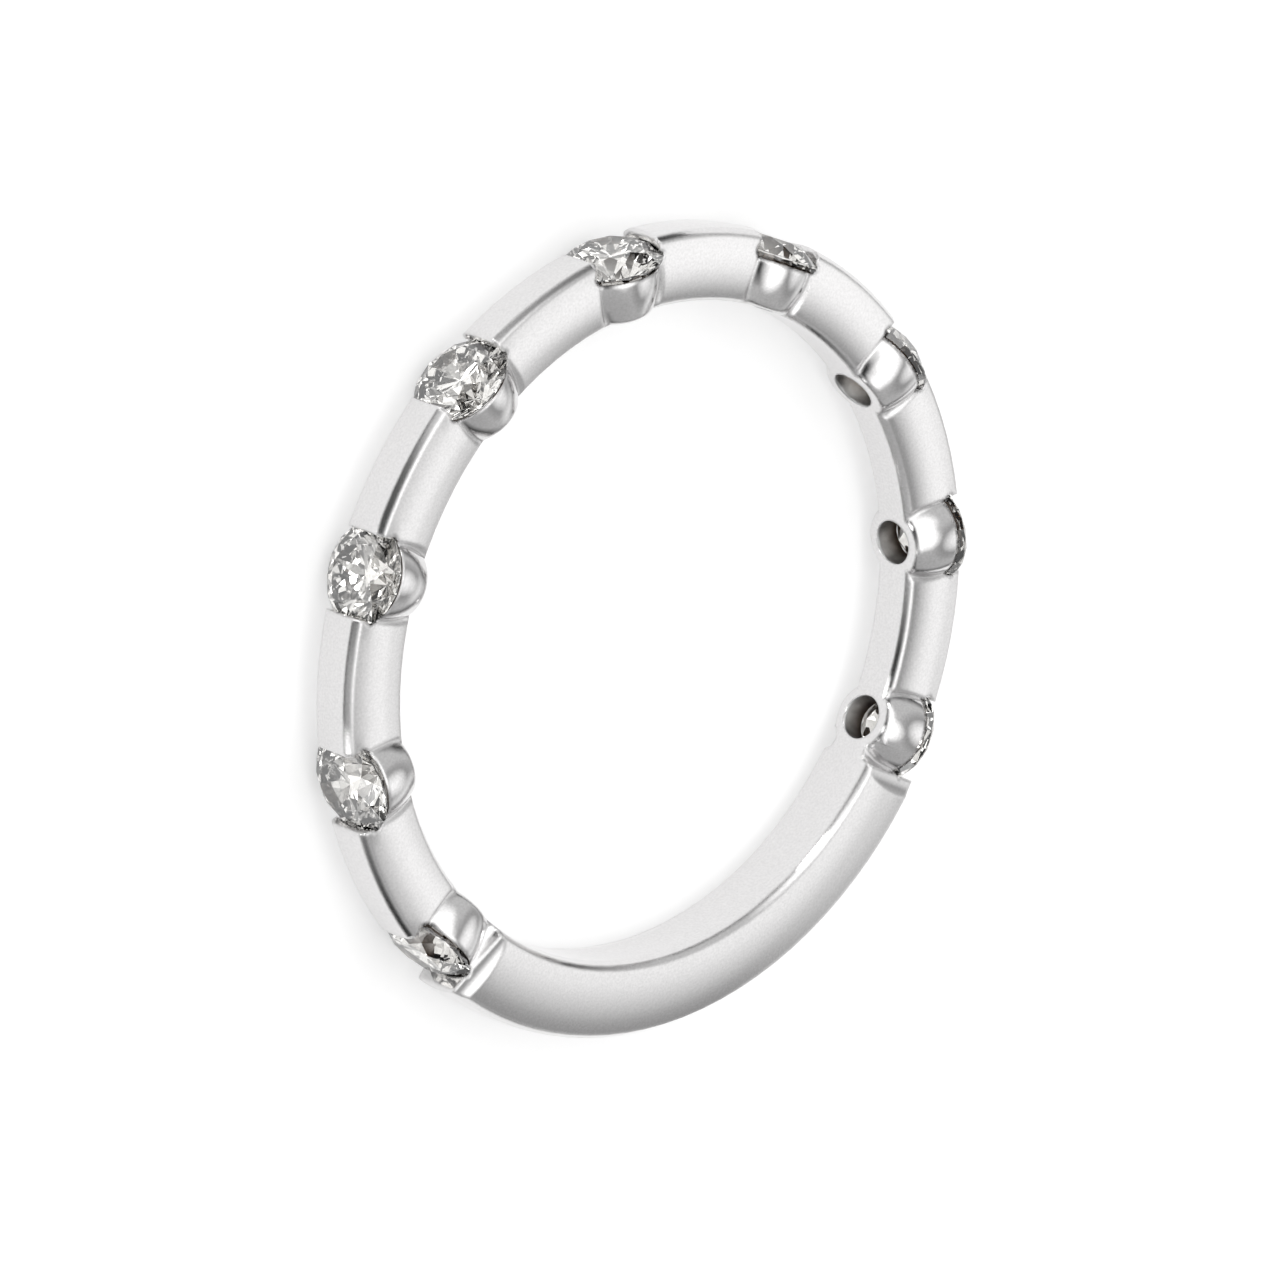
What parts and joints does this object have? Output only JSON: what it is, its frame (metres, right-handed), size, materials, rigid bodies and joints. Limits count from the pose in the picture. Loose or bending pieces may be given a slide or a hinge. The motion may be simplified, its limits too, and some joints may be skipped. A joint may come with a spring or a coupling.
{
  "type": "station wedding band",
  "caption": "Slim white metal ring of bright curved bars, each joined to the next by a tapered collet with a raised round brilliant, closed by a plain shank.",
  "frame": {"origin": "centre of the finger hole, on the ring's axis midway between its two sides", "axes": "+Z along the ring's axis, up when the ring lies on its side; +Y towards the middle stone, -Y towards the middle of the plain shank"},
  "size_m": [0.0202, 0.0202, 0.0024],
  "materials": {
    "white_gold": "cast white gold, rhodium plated and polished bright",
    "diamond": "cut and polished facets"
  },
  "bodies": {
    "root": {"band": "white_gold", "stone_1": "diamond", "stone_2": "diamond", "stone_3": "diamond", "stone_4": "diamond", "stone_5": "diamond", "stone_6": "diamond", "stone_7": "diamond", "stone_8": "diamond", "stone_9": "diamond"}
  },
  "joints": []
}
